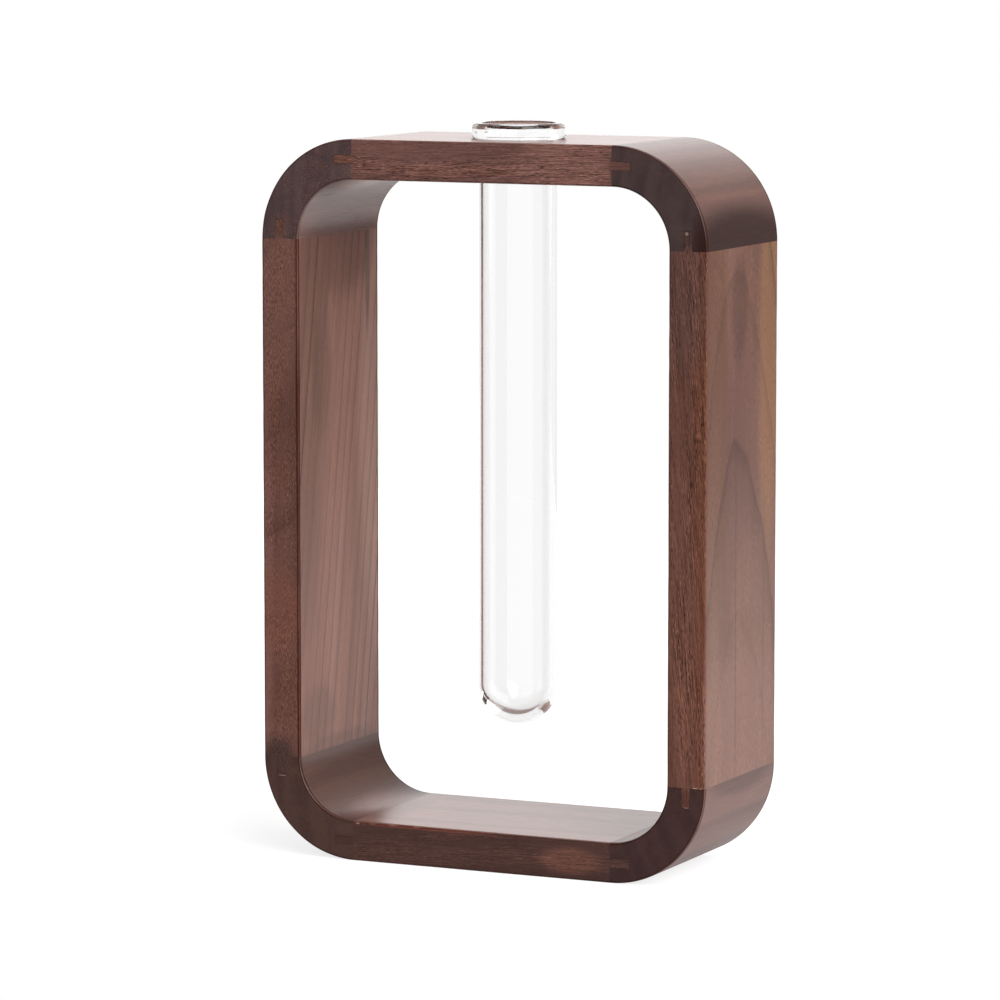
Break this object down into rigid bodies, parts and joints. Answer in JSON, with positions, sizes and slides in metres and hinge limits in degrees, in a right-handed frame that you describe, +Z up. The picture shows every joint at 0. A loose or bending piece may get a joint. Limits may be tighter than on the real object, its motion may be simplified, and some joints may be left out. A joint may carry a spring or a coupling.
{
  "type": "test tube vase",
  "caption": "Upright walnut frame with rounded corners that holds a rimmed glass test tube in its top rail, as a bud vase.",
  "frame": {"origin": "under the middle of the frame, on the surface that it stands on", "axes": "+X across the width to the right as seen from the front, +Y through the depth to the back, +Z up along the test tube"},
  "size_m": [0.12, 0.045, 0.1839],
  "materials": {
    "walnut_board": "oiled walnut, satin",
    "walnut_corner": "oiled dark walnut end grain, satin",
    "clear_glass": "clear polished borosilicate"
  },
  "bodies": {
    "frame": {"top_rail": "walnut_board", "bottom_rail": "walnut_board", "left_stile": "walnut_board", "right_stile": "walnut_board", "corner_top_left": "walnut_corner", "corner_top_right": "walnut_corner", "corner_bottom_left": "walnut_corner", "corner_bottom_right": "walnut_corner"},
    "tube": {"glass_tube": "clear_glass"}
  },
  "joints": [
    {"name": "tube_lift", "type": "slide", "parent": "frame", "child": "tube", "axis": [0, 0, 1], "range_m": [0, 0.15]}
  ]
}
